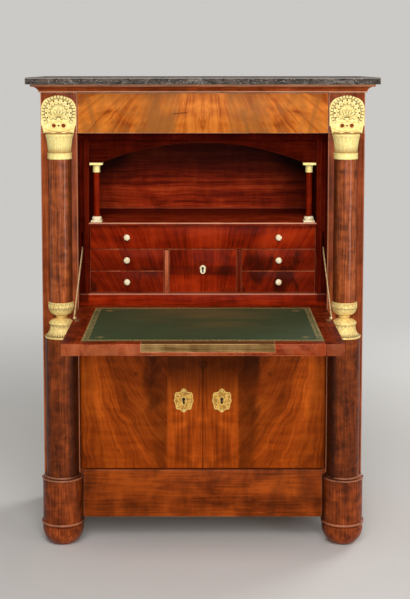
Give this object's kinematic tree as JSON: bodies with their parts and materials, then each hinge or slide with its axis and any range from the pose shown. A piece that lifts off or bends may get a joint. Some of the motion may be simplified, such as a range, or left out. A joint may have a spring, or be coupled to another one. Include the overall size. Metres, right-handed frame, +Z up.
{
  "type": "escritoire",
  "caption": "Fall-front writing desk in mahogany with half-round columns, gilt mounts and a marble top; the fall opens on stays over a fitted interior, above a cupboard.",
  "frame": {"origin": "on the floor, in the middle of the footprint with the fall open", "axes": "+X to the right seen from the front, +Y to the back, +Z up"},
  "size_m": [1.03, 0.9506, 1.397],
  "materials": {
    "marble": "polished",
    "mahogany": "polished",
    "red_mahogany": "polished",
    "oak": "plain",
    "gilt_bronze": "gilt",
    "brass": "polished",
    "leather": "tooled",
    "pale_wood": "worn",
    "bone": "polished"
  },
  "bodies": {
    "case": {"marble_top": "marble", "cornice": "mahogany", "top_board": "mahogany", "side_panels": "mahogany", "stiles": "mahogany", "frieze_blocks": "mahogany", "plinth_rail": "mahogany", "plinth_facing": "mahogany", "column_shafts": "mahogany", "lower_columns": "mahogany", "plinth_drums": "mahogany", "front_feet": "mahogany", "desk_deck": "mahogany", "nook_bottom_rail": "red_mahogany", "nook_boards": "red_mahogany", "nook_sides": "red_mahogany", "nook_back": "red_mahogany", "nook_dividers": "red_mahogany", "stay_strips": "red_mahogany", "nook_shelf": "red_mahogany", "nook_arch": "red_mahogany", "colonnettes": "red_mahogany", "dust_board": "red_mahogany", "linings": "red_mahogany", "back_frame": "oak", "back_panels": "oak", "cupboard_floor": "oak", "cupboard_shelf": "oak", "rear_feet": "oak", "capitals": "gilt_bronze", "column_bases": "gilt_bronze", "wreath_mounts": "gilt_bronze", "colonnette_capitals": "gilt_bronze", "colonnette_bases": "bone"},
    "fall": {"fall_panel": "mahogany", "fall_leather": "leather", "fall_edge_strip": "pale_wood", "fall_fittings": "brass"},
    "stay_left": {"stay_left": "brass"},
    "stay_right": {"stay_right": "brass"},
    "frieze_drawer": {"frieze_drawer_front": "mahogany", "frieze_drawer_box": "oak"},
    "wide_drawer": {"wide_drawer_front": "red_mahogany", "wide_drawer_box": "oak", "wide_drawer_knobs": "bone"},
    "centre_drawer": {"centre_drawer_front": "red_mahogany", "centre_drawer_box": "oak", "centre_drawer_key_plate": "bone"},
    "door_left": {"door_left": "mahogany", "door_fittings_left": "gilt_bronze"},
    "door_right": {"door_right": "mahogany", "door_fittings_right": "gilt_bronze"},
    "small_drawer_upper_left": {"small_drawer_upper_left": "red_mahogany", "knob_upper_left": "bone"},
    "small_drawer_upper_right": {"small_drawer_upper_right": "red_mahogany", "knob_upper_right": "bone"},
    "small_drawer_lower_left": {"small_drawer_lower_left": "red_mahogany", "knob_lower_left": "bone"},
    "small_drawer_lower_right": {"small_drawer_lower_right": "red_mahogany", "knob_lower_right": "bone"}
  },
  "joints": [
    {"name": "fall_hinge", "type": "hinge", "parent": "case", "child": "fall", "pos_m": [0, 0.05475, 0.7015], "axis": [1, 0, 0], "range_deg": [-90, 0]},
    {"name": "stay_hinge_left", "type": "hinge", "parent": "fall", "child": "stay_left", "pos_m": [-0.362, -0.16525, 0.723], "axis": [1, 0, 0], "range_deg": [0, 59.09]},
    {"name": "stay_hinge_right", "type": "hinge", "parent": "fall", "child": "stay_right", "pos_m": [0.362, -0.16525, 0.723], "axis": [1, 0, 0], "range_deg": [0, 59.09]},
    {"name": "door_hinge_left", "type": "hinge", "parent": "case", "child": "door_left", "pos_m": [-0.357, 0.04825, 0.4415], "axis": [0, 0, -1], "range_deg": [0, 90]},
    {"name": "door_hinge_right", "type": "hinge", "parent": "case", "child": "door_right", "pos_m": [0.357, 0.04825, 0.4415], "axis": [0, 0, 1], "range_deg": [0, 90]},
    {"name": "frieze_drawer_slide", "type": "slide", "parent": "case", "child": "frieze_drawer", "axis": [0, -1, 0], "range_m": [0, 0.25]},
    {"name": "wide_drawer_slide", "type": "slide", "parent": "case", "child": "wide_drawer", "axis": [0, -1, 0], "range_m": [0, 0.22]},
    {"name": "centre_drawer_slide", "type": "slide", "parent": "case", "child": "centre_drawer", "axis": [0, -1, 0], "range_m": [0, 0.22]},
    {"name": "small_drawer_upper_left_slide", "type": "slide", "parent": "case", "child": "small_drawer_upper_left", "axis": [0, -1, 0], "range_m": [0, 0.22]},
    {"name": "small_drawer_upper_right_slide", "type": "slide", "parent": "case", "child": "small_drawer_upper_right", "axis": [0, -1, 0], "range_m": [0, 0.22]},
    {"name": "small_drawer_lower_left_slide", "type": "slide", "parent": "case", "child": "small_drawer_lower_left", "axis": [0, -1, 0], "range_m": [0, 0.22]},
    {"name": "small_drawer_lower_right_slide", "type": "slide", "parent": "case", "child": "small_drawer_lower_right", "axis": [0, -1, 0], "range_m": [0, 0.22]}
  ],
  "couplings": [
    {"joint": "stay_hinge_left", "follows": "fall_hinge", "ratio": -0.65596},
    {"joint": "stay_hinge_right", "follows": "fall_hinge", "ratio": -0.65596}
  ]
}
